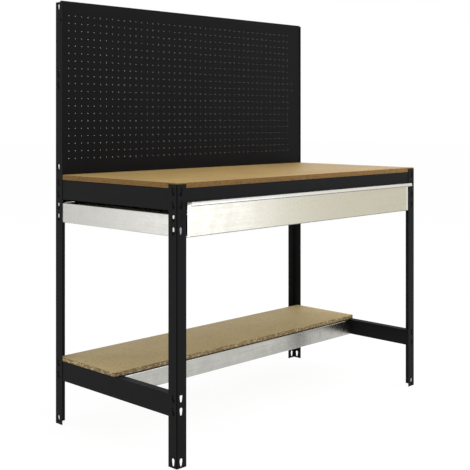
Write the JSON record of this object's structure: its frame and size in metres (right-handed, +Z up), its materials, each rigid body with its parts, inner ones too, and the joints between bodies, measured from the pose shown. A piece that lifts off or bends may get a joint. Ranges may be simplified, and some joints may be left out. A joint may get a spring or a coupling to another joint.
{
  "type": "workbench with perforated back panel and drawer",
  "caption": "Bolt-free steel workbench with angle posts, board worktop, full-width sliding drawer, half-depth lower shelf and a perforated tool panel at the back.",
  "frame": {"origin": "on the floor, below the centre of the overall bounding box (drawer lip and rivet heads included)", "axes": "+X to the right along the bench seen from the front, +Y to the back, the front faces -Y, +Z up"},
  "size_m": [1.2146, 0.6218, 1.399],
  "materials": {
    "black_powder_coat": "satin black powder coat with a fine texture on folded steel sheet",
    "black_rivet": "black coated steel rivets and screws",
    "galvanised_sheet": "galvanised steel sheet, faint spangle and rolling lines",
    "fibreboard": "smooth fibreboard top with darker cut edges",
    "chipboard": "raw chipboard with coarse speckled edges"
  },
  "bodies": {
    "frame": {"front_post_left": "black_powder_coat", "front_post_right": "black_powder_coat", "rear_post_left": "black_powder_coat", "rear_post_right": "black_powder_coat", "top_side_beam_left": "black_powder_coat", "top_side_beam_right": "black_powder_coat", "top_front_beam": "black_powder_coat", "top_rear_beam": "black_powder_coat", "shelf_side_beam_left": "black_powder_coat", "shelf_side_beam_right": "black_powder_coat", "panel_bracket_left": "black_powder_coat", "panel_bracket_right": "black_powder_coat", "perforated_panel": "black_powder_coat", "top_side_beam_left_rivet_1": "black_rivet", "top_side_beam_left_rivet_2": "black_rivet", "top_side_beam_left_rivet_3": "black_rivet", "top_side_beam_left_rivet_4": "black_rivet", "top_side_beam_right_rivet_1": "black_rivet", "top_side_beam_right_rivet_2": "black_rivet", "top_side_beam_right_rivet_3": "black_rivet", "top_side_beam_right_rivet_4": "black_rivet", "top_front_beam_rivet_1": "black_rivet", "top_front_beam_rivet_2": "black_rivet", "top_front_beam_rivet_3": "black_rivet", "top_front_beam_rivet_4": "black_rivet", "top_rear_beam_rivet_1": "black_rivet", "top_rear_beam_rivet_2": "black_rivet", "top_rear_beam_rivet_3": "black_rivet", "top_rear_beam_rivet_4": "black_rivet", "shelf_side_beam_left_rivet_1": "black_rivet", "shelf_side_beam_left_rivet_2": "black_rivet", "shelf_side_beam_left_rivet_3": "black_rivet", "shelf_side_beam_left_rivet_4": "black_rivet", "shelf_side_beam_right_rivet_1": "black_rivet", "shelf_side_beam_right_rivet_2": "black_rivet", "shelf_side_beam_right_rivet_3": "black_rivet", "shelf_side_beam_right_rivet_4": "black_rivet", "panel_bracket_left_rivet_1": "black_rivet", "panel_bracket_left_rivet_2": "black_rivet", "panel_bracket_right_rivet_1": "black_rivet", "panel_bracket_right_rivet_2": "black_rivet", "panel_screw_left": "black_rivet", "panel_screw_right": "black_rivet", "shelf_tie_front": "galvanised_sheet", "shelf_tie_rear": "galvanised_sheet", "drawer_guide_left": "galvanised_sheet", "drawer_guide_right": "galvanised_sheet", "drawer_guide_left_rivet_1": "black_rivet", "drawer_guide_left_rivet_2": "black_rivet", "drawer_guide_left_rivet_3": "black_rivet", "drawer_guide_left_rivet_4": "black_rivet", "drawer_guide_right_rivet_1": "black_rivet", "drawer_guide_right_rivet_2": "black_rivet", "drawer_guide_right_rivet_3": "black_rivet", "drawer_guide_right_rivet_4": "black_rivet", "worktop_board": "fibreboard", "shelf_board": "chipboard"},
    "drawer": {"drawer_front": "galvanised_sheet", "drawer_tray": "galvanised_sheet", "drawer_back": "galvanised_sheet"}
  },
  "joints": [
    {"name": "drawer_slide", "type": "slide", "parent": "frame", "child": "drawer", "axis": [0, -1, 0], "range_m": [0, 0.38]}
  ]
}
